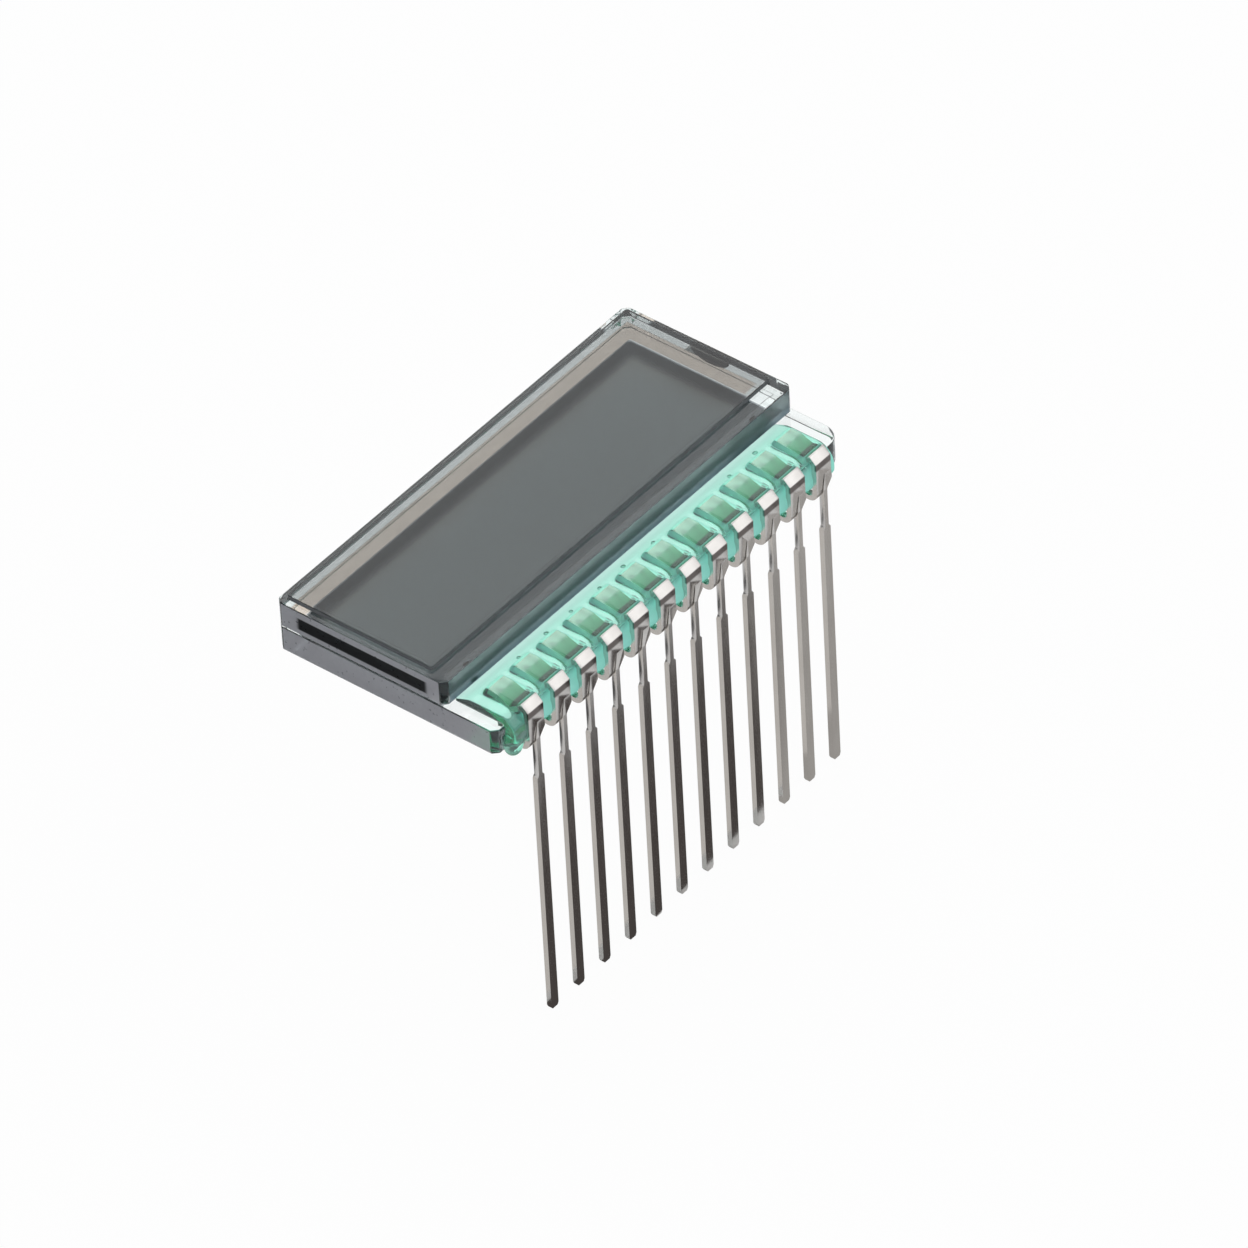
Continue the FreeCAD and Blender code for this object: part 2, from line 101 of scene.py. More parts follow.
# %% Shader maths
class Value:
    """A number that lives in a material's node graph."""

    def __init__(self, palette, socket):
        self.palette, self.socket = palette, socket

    def maths(self, operation, *others, swap=False):
        values = [self, *others]
        if swap:
            values.reverse()
        inputs = {index: value for index, value in enumerate(values)}
        return self.palette.node("ShaderNodeMath", {"operation": operation}, inputs)

    def __add__(self, other):
        return self.maths("ADD", other)

    def __radd__(self, other):
        return self.maths("ADD", other, swap=True)

    def __sub__(self, other):
        return self.maths("SUBTRACT", other)

    def __rsub__(self, other):
        return self.maths("SUBTRACT", other, swap=True)

    def __mul__(self, other):
        return self.maths("MULTIPLY", other)

    def __rmul__(self, other):
        return self.maths("MULTIPLY", other, swap=True)

    def maximum(self, other):
        return self.maths("MAXIMUM", other)

    def above(self, other):
        return self.maths("GREATER_THAN", other)

    def below(self, other):
        return self.maths("LESS_THAN", other)


class Palette:
    """One material and the calls that fill its graph."""

    def __init__(self, name):
        self.material = bpy.data.materials.new(name)
        self.material.use_nodes = True
        self.tree = self.material.node_tree
        self.shader = self.tree.nodes["Principled BSDF"]

    def node(self, kind, settings, inputs, output=0):
        made = self.tree.nodes.new(kind)
        for name, value in settings.items():
            if name == "stops":
                for stop, (position, colour) in zip(made.color_ramp.elements, value):
                    stop.position, stop.color = position, colour
            else:
                setattr(made, name, value)
        for key, value in inputs.items():
            self.feed(made.inputs[key], value)
        return Value(self, made.outputs[output])

    def feed(self, socket, value):
        if isinstance(value, Value):
            self.tree.links.new(value.socket, socket)
        else:
            socket.default_value = value

    def set(self, **sockets):
        """Sets or links the shader's own sockets; an underscore stands for a space."""
        for name, value in sockets.items():
            self.feed(self.shader.inputs[name.replace("_", " ")], value)
        return self

    def place(self, scale=(1, 1, 1)):
        """Object coordinates in millimetres, stretched by a scale."""
        where = self.node("ShaderNodeTexCoord", {}, {}, output="Object")
        size = tuple(1000 * part for part in scale)
        return self.node("ShaderNodeMapping", {}, {"Vector": where, "Scale": size})

    def noise(self, scale, detail=3.0, stretch=(1, 1, 1)):
        inputs = {"Vector": self.place(stretch), "Scale": scale, "Detail": detail}
        return self.node("ShaderNodeTexNoise", {}, inputs)

    def blend(self, factor, first, second):
        """A colour between two colours."""
        inputs = {"Factor": factor, 6: first, 7: second}
        return self.node("ShaderNodeMix", {"data_type": "RGBA"}, inputs, output=2)

    def ramp(self, value, start, end):
        """A smooth step from 0 at start to 1 at end."""
        inputs = {"Value": value, "From Min": start, "From Max": end}
        settings = {"interpolation_type": "SMOOTHSTEP", "clamp": True}
        return self.node("ShaderNodeMapRange", settings, inputs)

    def axes(self):
        """The three object coordinates in millimetres."""
        where = self.place()
        split = self.node("ShaderNodeSeparateXYZ", {}, {0: where})
        return [Value(self, output) for output in split.socket.node.outputs]

    def bump(self, height, strength, distance):
        inputs = {"Height": height, "Strength": strength, "Distance": distance}
        return self.node("ShaderNodeBump", {}, inputs, output="Normal")

    def finish(self, shader, part):
        """Feeds the material's own output, at its Surface or its Volume."""
        output = next(node for node in self.tree.nodes if node.type == "OUTPUT_MATERIAL")
        self.feed(output.inputs[part], shader)


def colour(red, green, blue):
    return (red, green, blue, 1.0)


print("shader helpers ready")

# %% [markdown]
# Clear things need more than a colour. Where two layers are glued together, light passes from one to
# the next without bending or mirroring, because the glue has nearly the same refractive index as the
# glass. Glass in air bends light by its index of 1.52. So each plate gets several finishes: polished
# faces, cut edges that are a little rough, and bonded faces whose index is 1, which bend nothing.

# %% Glass finishes
GLASS_INDEX = 1.52


def clear(name, tint, index, roughness):
    """A see-through finish with a tint, a refractive index and a roughness."""
    palette = Palette(name)
    palette.set(Base_Color=tint, IOR=index, Roughness=roughness, Transmission_Weight=1.0)
    return palette


polished_glass = clear("polished_glass", colour(0.93, 0.965, 0.96), GLASS_INDEX, 0.0)
bonded_face = clear("bonded_face", colour(1, 1, 1), 1.0, 0.0)
bonded_face.set(Specular_IOR_Level=0.0)

cut_glass = clear("cut_glass_edge", colour(0.86, 0.93, 0.92), GLASS_INDEX, 0.06)
scratches = cut_glass.noise(6.0, 4.0, stretch=(1, 1, 0.35))
cut_glass.set(Roughness=0.03 + scratches * 0.1)
cut_glass.set(Normal=cut_glass.bump(scratches, 0.25, 0.02 * MM))

# %% [markdown]
# The left ends of the plates and the long wall over the ledge are ground, so they are milky. On the end
# of the front plate a black band is painted where the frame of glue is mirrored inside the glass: a
# painted reflection. The wall over the resin gets painted shade, from slate at its foot to pale teal at
# its top. Both are a blend between two colours with a mask that is worked out from Object coordinates,
# so they stay on the glass from every side.

# %% Ground glass
BAND_TOP, BAND_FOOT, BAND_SOFT = 0.30, 0.78, 0.03
ground_glass = clear("ground_glass_end", colour(0.55, 0.555, 0.59), GLASS_INDEX, 0.3)
grit = ground_glass.noise(5.0, 4.0)
ground_glass.set(Roughness=0.22 + grit * 0.16, Transmission_Weight=0.4)
_, y, z = ground_glass.axes()
seal_near, seal_far = seal_low.y / MM, seal_high.y / MM
front_top, front_depth = front_high.z / MM, (front_high.z - front_low.z) / MM
top, foot = front_top - BAND_TOP * front_depth, front_top - BAND_FOOT * front_depth
# Painted reflection: the frame of glue, mirrored inside the end of the front plate, drawn as a black band.
starts = ground_glass.ramp(y, seal_near, seal_near + 0.2)
ends = ground_glass.ramp(y, seal_far - 0.6, seal_far - 0.8)
under_top = ground_glass.ramp(z, top + BAND_SOFT, top - BAND_SOFT)
over_foot = ground_glass.ramp(z, foot - BAND_SOFT, foot + BAND_SOFT)
painted_seal_reflection = starts * ends * under_top * over_foot
end_tone = ground_glass.blend(grit, colour(0.50, 0.505, 0.54), colour(0.60, 0.605, 0.64))
ground_glass.set(Base_Color=ground_glass.blend(painted_seal_reflection, end_tone, colour(0.004, 0.006, 0.007)))

wall_glass = clear("ground_glass_wall", colour(0.66, 0.84, 0.87), GLASS_INDEX, 0.4)
wall_grit = wall_glass.noise(3.0, 4.0)
wall_glass.set(Roughness=0.3 + wall_grit * 0.15, Transmission_Weight=0.9)
_, _, z = wall_glass.axes()
# Painted shade: the wall darkens to slate at its foot and pales to teal at its top.
painted_wall_shade = wall_glass.ramp(z, ledge_z + 0.1, ledge_z + 0.8)
SHADE_SLATE, TEAL = colour(0.16, 0.30, 0.42), colour(0.74, 0.98, 1.0)
wall_glass.set(Base_Color=wall_glass.blend(painted_wall_shade, SHADE_SLATE, TEAL))
GLASS_FINISHES = [polished_glass, cut_glass, bonded_face, ground_glass, wall_glass]
print("glass finishes ready")

# %% [markdown]
# A polarising film passes somewhat less than half of the light, evenly over the colours, so a film looks
# neutral grey. Light loses part of it on entering and the rest on leaving, so both faces of the film
# carry the same tint. The two films are crossed: between them the liquid crystal turns the light so that
# it gets through, and the frame of glue around it doesn't, which leaves a dark border on the rear film.
# Behind it the reflector is a satin metal film that sends the light back. The cut edges of the front
# film are matt grey, because a knife leaves plastic rough.

# %% Film finishes
FILM_TINT = colour(0.445, 0.465, 0.468)
front_film = clear("polarising_film", FILM_TINT, GLASS_INDEX, 0.015)
smears = front_film.noise(0.35, 2.0)
front_film.set(Roughness=0.01 + smears * 0.03)

film_cut = Palette("film_cut_edge")
fibre = film_cut.noise(8.0, 3.0, stretch=(1, 1, 4))
film_cut.set(Base_Color=film_cut.blend(fibre, colour(0.12, 0.13, 0.135), colour(0.19, 0.20, 0.21)))
film_cut.set(Roughness=0.5)


def bonded(name, tint):
    """A see-through layer glued on both sides: it colours the light and doesn't bend it."""
    return clear(name, tint, 1.0, 0.0).set(Specular_IOR_Level=0.0)


film_back = bonded("polarising_film_glued", FILM_TINT)
fluid = bonded("liquid_crystal_film", colour(0.95, 0.965, 0.96))

rear_film = bonded("rear_polarising_film", colour(0.90, 0.92, 0.92))
x, y, _ = rear_film.axes()
FRAME_OUT, FRAME_IN = 0.15, 0.45
inner_left, inner_right = crystal_low.x / MM, crystal_high.x / MM
inner_near, inner_far = crystal_low.y / MM, crystal_high.y / MM
past_left = rear_film.ramp(x, inner_left - FRAME_OUT, inner_left + FRAME_IN)
before_right = rear_film.ramp(x, inner_right + FRAME_OUT, inner_right - FRAME_IN)
past_near = rear_film.ramp(y, inner_near, inner_near + FRAME_IN)
before_far = rear_film.ramp(y, inner_far + FRAME_OUT, inner_far - FRAME_IN)
window = past_left * before_right * (past_near * before_far)
BLOCKED, PASSED = colour(0.30, 0.33, 0.35), colour(0.92, 0.94, 0.94)
rear_film.set(Base_Color=rear_film.blend(window, BLOCKED, PASSED))

mirror_film = Palette("satin_reflector")
grain = mirror_film.noise(18.0, 4.0)
mirror_film.set(Base_Color=mirror_film.blend(grain, colour(0.66, 0.68, 0.68), colour(0.78, 0.80, 0.80)))
mirror_film.set(Metallic=1.0, Roughness=0.42 + grain * 0.12)
mirror_film.set(Normal=mirror_film.bump(grain, 0.2, 0.01 * MM))

# %% [markdown]
# The glues: cream epoxy frames the cell and closes the filling port. Light that crosses its thin film
# steeply comes out beige, and light that slants through it, as in from the side of the glass, is lost:
# that loss is painted shade, a dark colour blended in by the angle at which the glue is seen.
# Along the near and left sides the crossed films lie over the glue and take its warmth away, so there
# it is drawn white and the films give it their grey. The silver and carbon pastes are matt.

# %% Glue and paste finishes
seal_glue = bonded("cream_seal_glue", colour(0.79, 0.68, 0.58))
cloud = seal_glue.noise(3.0, 3.0)
cream = seal_glue.blend(cloud, colour(0.76, 0.65, 0.56), colour(0.84, 0.74, 0.66))
x, y, _ = seal_glue.axes()
near_side = seal_glue.ramp(y, inner_near + 0.1, inner_near - 0.05)
before_end = seal_glue.ramp(y, inner_far + 0.1, inner_far - 0.1)
left_side = seal_glue.ramp(x, inner_left + 0.1, inner_left - 0.05) * before_end
under_films = seal_glue.blend(near_side.maximum(left_side), cream, colour(0.97, 1.0, 1.0))
# Painted shade: the glue turns dark slate where it is seen at a slant.
slant = seal_glue.node("ShaderNodeLayerWeight", {}, {"Blend": 0.5}, output="Facing")
painted_slant_shade = seal_glue.ramp(slant, 0.3, 0.5)
seal_glue.set(Base_Color=seal_glue.blend(painted_slant_shade, under_films, colour(0.10, 0.13, 0.14)))
seal_glue.set(Transmission_Weight=0.94)

port_glue = clear("port_glue", colour(0.93, 0.90, 0.85), 1.5, 0.05)
port_cloud = port_glue.noise(2.0, 3.0)
port_glue.set(Roughness=0.04 + port_cloud * 0.1, Transmission_Weight=0.8)

silver_paste = Palette("silver_paste")
flakes = silver_paste.noise(40.0, 3.0)
silver_paste.set(Base_Color=silver_paste.blend(flakes, colour(0.45, 0.45, 0.44), colour(0.8, 0.8, 0.78)))
silver_paste.set(Metallic=0.8, Roughness=0.45 + flakes * 0.2)

carbon_paste = Palette("carbon_paste")
soot = carbon_paste.noise(30.0, 3.0)
carbon_paste.set(Base_Color=carbon_paste.blend(soot, colour(0.02, 0.02, 0.02), colour(0.07, 0.07, 0.07)))
carbon_paste.set(Roughness=0.6 + soot * 0.2)

# %% [markdown]
# The clips are stamped from bronze strip and tinned. Tin is a warm grey metal, bright where it is
# smooth and hazy where it was drawn through the plating bath, so its roughness varies along the lead.
# Under the resin the tin's colour carries painted reflections of the resin and painted shade: the
# slopes go bottle green in the shaded valley at the glass edge and moss green towards the toe, the flat
# toes a painted olive, and the sides a matt pale green, painted light that lifts their dark reflection.
# Below the bend over the glass edge a dark band is painted shade. The masks below say where.

# %% Tinned bronze
TOE_LENGTH, UPWARD_FROM = 0.45, 0.3
CORNER_FROM, CORNER_TO = 0.45, 0.55
CORNER_FADE, CORNER_TOP = 0.31, 0.36
tin = Palette("tinned_bronze")
_, y, z = tin.axes()
toe_flat = TOE_Y / MM - TOE_LENGTH
facing = tin.node("ShaderNodeNewGeometry", {}, {}, output="True Normal")
upward = tin.node("ShaderNodeSeparateXYZ", {}, {0: facing}, output="Z").above(UPWARD_FROM)
high_up = tin.ramp(z, ledge_z - 0.1, ledge_z)
past_edge = tin.ramp(y, edge_y - 0.2, edge_y)
on_slope = past_edge * tin.ramp(y, toe_flat + 0.1, toe_flat - 0.1) * high_up * upward
on_toe = tin.ramp(y, toe_flat - 0.05, toe_flat + 0.1) * high_up * upward
painted_side_light = (1 - upward) * high_up * past_edge
# Painted shade: a dark band below the bend, in front of the glass edge and just over the ledge.
over_edge = tin.ramp(z, ledge_z, ledge_z + 0.1) * tin.ramp(z, ledge_z + CORNER_TOP, ledge_z + CORNER_FADE)
painted_bend_shade = tin.ramp(y, edge_y - CORNER_FROM, edge_y - CORNER_TO) * over_edge

haze = tin.noise(2.2, 4.0, stretch=(1, 1, 0.25))
speck = tin.noise(22.0, 3.0)
bare = tin.blend(haze, colour(0.60, 0.575, 0.55), colour(0.78, 0.76, 0.73))
# Painted reflections of the resin on the toes and slopes, darkest as painted shade in the valley; painted
# pale green light on the sides.
with_toe = tin.blend(on_toe, bare, colour(0.50, 0.55, 0.47))
BOTTLE, MOSS = colour(0.05, 0.20, 0.10), colour(0.22, 0.40, 0.26)
painted_slope_green = tin.blend(tin.ramp(y, edge_y, toe_flat), BOTTLE, MOSS)
with_slope = tin.blend(on_slope, with_toe, painted_slope_green)
with_side = tin.blend(painted_side_light, with_slope, colour(0.36, 0.74, 0.56))
tin.set(Base_Color=tin.blend(painted_bend_shade, with_side, colour(0.17, 0.15, 0.14)))
tin.set(Metallic=1 - painted_side_light, Roughness=0.12 + haze * 0.12 + speck * 0.03)
tin.set(Normal=tin.bump(haze + speck * 0.1, 0.06, 0.01 * MM))

# %% [markdown]
# The resin is a clear liquid that sets under light. Its mint green comes from what it swallows on
# the way through: thin parts are pale, and deep parts over the dark springs go bottle green. A
# Volume Absorption node does that, with a density per metre that suits a bead half a millimetre thick.
# Where the resin sticks to glass its skin is transparent, because nothing bends the light there. One
# material does both, with a mask, because a volume is only left through the material it was entered by.
# In front of the glass edge and on the flanks of the mounds the light comes through from behind, and a
# share of matt mint with a painted glow, an emission of its own, stands for that light.

# %% Mint resin
RESIN_DEPTH = {"Color": colour(0.02, 0.87, 0.66), "Density": 1350.0}
resin_finish = clear("mint_resin", colour(0.74, 0.97, 0.90), 1.5, 0.02)
resin_finish.set(Transmission_Weight=0.88)
ripple = resin_finish.noise(1.3, 3.0)
resin_finish.set(Normal=resin_finish.bump(ripple, 0.1, 0.05 * MM))

# %% Where the resin is bonded, and where it is milky with a painted glow
NOSE_MILK_GLOW, FLANK_MILK_GLOW, GLOW_SHARE = 0.7, 0.35, 0.45
DROP_END = (0.8, 1.1)


def shader_mix(palette, share, first, second):
    """Mixes two shaders; a mask may set the share of the second."""
    return palette.node("ShaderNodeMixShader", {}, {0: share, 1: first, 2: second})


x, y, z = resin_finish.axes()
on_ledge = y.above(edge_y) * z.below(ledge_z)
on_glass = on_ledge.maximum(y.above(wall_y))
resin_left = resin_low.x / MM
past_drop = resin_finish.ramp(x, resin_left + DROP_END[0], resin_left + DROP_END[1])
nose = resin_finish.ramp(y, edge_y - 0.05, edge_y - 0.3) * past_drop * NOSE_MILK_GLOW
normal = resin_finish.node("ShaderNodeNewGeometry", {}, {}, output="Normal")
lean = resin_finish.node("ShaderNodeSeparateXYZ", {}, {0: normal}, output="Z")
slanting = resin_finish.ramp(lean, 0.85, 0.6) * resin_finish.ramp(lean, 0.02, 0.15)
raised = resin_finish.ramp(z, ledge_z + 0.05, ledge_z + 0.2)
flank = slanting * raised * past_drop * FLANK_MILK_GLOW

open_face = Value(resin_finish, resin_finish.shader.outputs[0])
glued_face = resin_finish.node("ShaderNodeBsdfTransparent", {}, {})
matt = resin_finish.node("ShaderNodeBsdfDiffuse", {}, {"Color": colour(0.50, 1.0, 0.88)})
GLOW = {"Color": colour(0.28, 0.95, 0.80), "Strength": 1.0}
# Painted light: the resin's own glow stands for light that comes through it from behind.
glow = resin_finish.node("ShaderNodeEmission", {}, GLOW)
milk_and_glow = shader_mix(resin_finish, GLOW_SHARE, matt, glow)
skin = shader_mix(resin_finish, nose.maximum(flank), open_face, milk_and_glow)
resin_finish.finish(shader_mix(resin_finish, on_glass, skin, glued_face), "Surface")
resin_finish.finish(resin_finish.node("ShaderNodeVolumeAbsorption", {}, RESIN_DEPTH), "Volume")
print("all finishes ready")

# %% [markdown]
# A piece becomes part of the object in one step: its mesh gets its finishes, it is named for the node
# that it stands for, and it rides on the body that holds all the nodes.

# %% Finish a piece
def add_piece(name, bm, finishes, node=None, smooth_angle=35, flat_first=True):
    """Turns a bmesh into a piece of the object. With flat_first the broad faces stay flat to the light,
    and only the narrow rounds between them are shaded smooth."""
    mesh = bpy.data.meshes.new(name)
    bm.to_mesh(mesh)
    bm.free()
    for palette in finishes:
        mesh.materials.append(palette.material)
    mesh.shade_smooth()
    mesh.set_sharp_from_angle(angle=math.radians(smooth_angle))
    piece = bpy.data.objects.new(name, mesh)
    bpy.context.scene.collection.objects.link(piece)
    if flat_first:
        piece.modifiers.new("weighted_normals", "WEIGHTED_NORMAL").keep_sharp = True
    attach(piece, "root")
    if node:
        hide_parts(node)
    print(name, len(mesh.polygons), "faces")
    return piece


def copy_of(node):
    """A merged copy of a CAD node as a bmesh, with its flat faces whole again."""
    bm = bmesh.new()
    bm.from_mesh(nodes[node].data)
    bmesh.ops.remove_doubles(bm, verts=bm.verts, dist=0.0005 * MM)
    bmesh.ops.dissolve_limit(bm, angle_limit=math.radians(1), verts=bm.verts, edges=bm.edges)
    return bm


def sharp_edges(bm, degrees):
    limit = math.radians(degrees)
    return [e for e in bm.edges if len(e.link_faces) == 2 and e.calc_face_angle(0) > limit]


def soften(bm, width, degrees=30, segments=2):
    """Breaks the sharp edges of a solid with a narrow round."""
    bmesh.ops.bevel(bm, geom=sharp_edges(bm, degrees), offset=width, segments=segments, profile=0.5,
                    affect="EDGES", material=-1, clamp_overlap=True)


def cut_along(bm, axis, places):
    """Cuts all faces by planes square to an axis, so that zones can have their own finish."""
    normal = Vector((axis == "x", axis == "y", axis == "z"))
    for place in places:
        geometry = bm.verts[:] + bm.edges[:] + bm.faces[:]
        bmesh.ops.bisect_plane(bm, geom=geometry, dist=0.0001 * MM, plane_co=normal * place, plane_no=normal)


# %% [markdown]
# Each plate starts as a copy of its CAD solid. The arrises are broken, as on real cut glass, because
# a dead sharp edge catches no light. Then the faces are cut along the outline of what is glued to
# them, and each zone gets its finish. The cast zone is where the resin sticks to the plates: it ends
# short of the resin's node at both sides, so that the corners of the ledge stay bare.

# %% Glass plates
ARRIS = 0.045 * MM
FLAT = 0.99
POLISHED, CUT, BONDED, GROUND, WALL = range(5)


def inside(point, low, high):
    return low.x < point.x < high.x and low.y < point.y < high.y


def glass_plate(node, upper_zone, lower_zone):
    """A plate whose upper and lower faces are bonded inside the given zones."""
    bm = copy_of(node)
    soften(bm, ARRIS)
    for low, high in (upper_zone, lower_zone, cast_zone):
        cut_along(bm, "x", (low.x, high.x))
        cut_along(bm, "y", (low.y, high.y))
    cut_along(bm, "z", (cast_zone[0].z,))
    bm.normal_update()
    for face in bm.faces:
        middle = face.calc_center_median()
        zone = upper_zone if face.normal.z > 0 else lower_zone
        if abs(face.normal.z) < FLAT:
            face.material_index = CUT if abs(face.normal.z) < 1 - FLAT else POLISHED
        else:
            face.material_index = BONDED if inside(middle, *zone) else POLISHED
        if face.normal.x < -FLAT:
            face.material_index = GROUND
        if face.normal.y < -FLAT and middle.y > EDGE_Y + ARRIS:
            face.material_index = WALL
        if inside(middle, *cast_zone) and middle.z > cast_zone[0].z and face.normal.z > -FLAT:
            face.material_index = BONDED
    return add_piece(node + "_plate", bm, GLASS_FINISHES, node=node)


BARE_LEFT, BARE_RIGHT = 0.2 * MM, 0.6 * MM
RESIN_LEFT, RESIN_RIGHT = resin_low.x + BARE_LEFT, resin_high.x - BARE_RIGHT
margin = Vector((0.08, -1, 0.06)) * MM
cast_low = Vector((RESIN_LEFT, EDGE_Y, resin_low.z)) + margin
cast_high = Vector((RESIN_RIGHT - margin.x, WALL_Y, LEDGE_Z))
cast_zone = (cast_low, cast_high)
glass_plate("front_glass", (film_low, film_high), (seal_low, seal_high))
glass_plate("rear_glass", (seal_low, seal_high), (backing_low, backing_high))

# %% [markdown]
# The films keep a hair's breadth from the faces that they are glued to. Two faces in the same place
# would flicker, because the renderer can't tell which comes first, and five thousandths of a
# millimetre cost nothing where the facing zones don't bend light.

# %% Films and fluid
HAIR = 0.005 * MM
FILM_ROUND = 0.03 * MM


def thin_layer(node, finishes, lift_bottom=0.0, drop_top=0.0, round_edge=FILM_ROUND):
    """A copy of a flat node, thinned by a hair where it faces its neighbours."""
    low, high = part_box(node)
    bm = copy_of(node)
    for vertex in bm.verts:
        if abs(vertex.co.z - low.z) < HAIR:
            vertex.co.z += lift_bottom
        if abs(vertex.co.z - high.z) < HAIR:
            vertex.co.z -= drop_top
    if round_edge:
        top = [e for e in sharp_edges(bm, 50) if all(v.co.z > high.z - drop_top - HAIR for v in e.verts)]
        bmesh.ops.bevel(bm, geom=top, offset=round_edge, segments=2, profile=0.5, affect="EDGES",
                        material=-1, clamp_overlap=True)
    bm.normal_update()
    for face in bm.faces:
        if len(finishes) > 1 and face.normal.z < 0.3:
            face.material_index = 1 if face.normal.z < -FLAT else 2
    return add_piece(node + "_layer", bm, finishes, node=node)


thin_layer("front_polarizer", [front_film, film_back, film_cut], lift_bottom=HAIR)
thin_layer("liquid_crystal", [fluid], lift_bottom=HAIR, drop_top=HAIR, round_edge=0)
thin_layer("perimeter_seal", [seal_glue], lift_bottom=HAIR, drop_top=HAIR, round_edge=0)
thin_layer("rear_polarizer", [rear_film], lift_bottom=HAIR, drop_top=HAIR, round_edge=0)
thin_layer("reflector", [mirror_film], round_edge=0)

# %% [markdown]
# The pastes are small, and their CAD solids have the right form already. They only need their finish,
# which goes into the slots of the CAD objects. The port plug has two: its tongue lies bonded between
# the plates, and its cap stands out of the end of the glass as a drop.

# %% Small glued parts
def dress(node, palette):
    """Gives a CAD node its finish."""
    mesh = nodes[node].data
    mesh.materials.clear()
    mesh.materials.append(palette.material)


def port_plug():
    """The glue in the filling port: its tongue keeps a hair's breadth from both plates."""
    bm = copy_of("end_seal")
    glass_end = front_high.x - 0.01 * MM
    for vertex in bm.verts:
        if vertex.co.x < glass_end:
            vertex.co.z += HAIR if vertex.co.z < (seal_low.z + seal_high.z) / 2 else -HAIR
    bm.normal_update()
    for face in bm.faces:
        face.material_index = int(face.calc_center_median().x < glass_end)
    add_piece("port_plug", bm, [port_glue, seal_glue], node="end_seal", smooth_angle=60)


port_plug()
dress("transfer_dots", silver_paste)
dress("carbon_paste_dots", carbon_paste)

# %% [markdown]
# The clips keep their CAD form, but stamped strip never has razor edges. Each clip is a copy of its
# node with a small round on every edge, so that the edges catch the light as thin bright lines.

# %% Contact clips
STRIP_ROUND = 0.022 * MM


def contact_clip(node):
    bm = copy_of(node)
    soften(bm, STRIP_ROUND, degrees=40, segments=2)
    return add_piece(node + "_tinned", bm, [tin], node=node)


for pin in PIN_NAMES:
    contact_clip(pin)

# %% [markdown]
# Cast resin has no straight lines: surface tension draws it over every clip, thins it towards the wall
# of the front plate and rounds it off at its ends. It is modelled as a rough stack of prisms, which a
# voxel remesh fuses into one skin. Smoothing that skin does what surface tension does to the liquid.
# It could be sculpted by hand instead, but a stack of sections follows the frame if a size changes.

# %% Rough shapes and the skin over them
VOXEL = 0.05 * MM
SMOOTHING = 16


def ridge(bm, section, left, right, flare=0.0):
    """A prism along X from its section in the YZ plane. A flare leans its two ends in towards the top."""
    ring = [bm.verts.new((left + flare * (z - LEDGE_Z), y, z)) for y, z in section]
    face = bm.faces.new(ring)
    grown = bmesh.ops.extrude_face_region(bm, geom=[face], use_keep_orig=True)["geom"]
    for vertex in (item for item in grown if isinstance(item, bmesh.types.BMVert)):
        vertex.co.x = right - flare * (vertex.co.z - LEDGE_Z)


def ball(bm, centre, radii):
    """A stretched sphere."""
    matrix = Matrix.Translation(centre) @ Matrix.Diagonal((*radii, 1))
    return bmesh.ops.create_icosphere(bm, subdivisions=3, radius=1, matrix=matrix)["verts"]


def remesh(bm, name, voxel, smoothing):
    """Fuses a rough stack of shapes into one smooth skin."""
    bmesh.ops.recalc_face_normals(bm, faces=bm.faces)
    mesh = bpy.data.meshes.new(name + "_rough")
    bm.to_mesh(mesh)
    bm.free()
    rough = bpy.data.objects.new(name + "_rough", mesh)
    bpy.context.scene.collection.objects.link(rough)
    modifier = rough.modifiers.new("fuse", "REMESH")
    modifier.mode = "VOXEL"
    modifier.voxel_size = voxel
    ready = rough.evaluated_get(bpy.context.evaluated_depsgraph_get())
    fused = bmesh.new()
    fused.from_mesh(ready.to_mesh())
    ready.to_mesh_clear()
    bpy.data.objects.remove(rough)
    bpy.data.meshes.remove(mesh)
    for _ in range(smoothing):
        bmesh.ops.smooth_vert(fused, verts=fused.verts, factor=0.5, use_axis_x=True, use_axis_y=True,
                              use_axis_z=True)
    return fused


def above_ledge(inset, height):
    """A place in the YZ plane: inset from the glass edge and height over the ledge, in millimetres."""
    return EDGE_Y + inset * MM, LEDGE_Z + height * MM


# %% [markdown]
# Small bubbles stay behind when resin sets: most toes have one behind them and all a tiny one at their
# side. Air inside a clear solid is a hollow, so each bubble is a small sphere turned inside out, in the
# same mesh as the resin. It then bends the light the other way, as a real bubble does.

# %% Bubbles
BARE_TOES = (0, 7, 8, 11)


def trap_bubbles(bm):
    """Round hollows in the resin, placed by the clips' own places."""
    places = []
    for number, middle in enumerate(pin_x):
        side = middle + random.uniform(0.28, 0.42) * MM
        behind = TOE_Y + random.uniform(0.34, 0.44) * MM
        if number not in BARE_TOES:
            places.append(((side, behind, LEDGE_Z + 0.22 * MM), random.uniform(0.08, 0.12) * MM))
        along = TOE_Y - random.uniform(0.35, 0.5) * MM
        beside = middle - CLIP_WIDTH / 2 - 0.07 * MM
        places.append(((beside, along, LEDGE_Z + 0.5 * MM), random.uniform(0.03, 0.055) * MM))
    for centre, radius in places:
        verts = ball(bm, centre, (radius, radius, radius))
        faces = list({face for vertex in verts for face in vertex.link_faces})
        bmesh.ops.reverse_faces(bm, faces=faces)


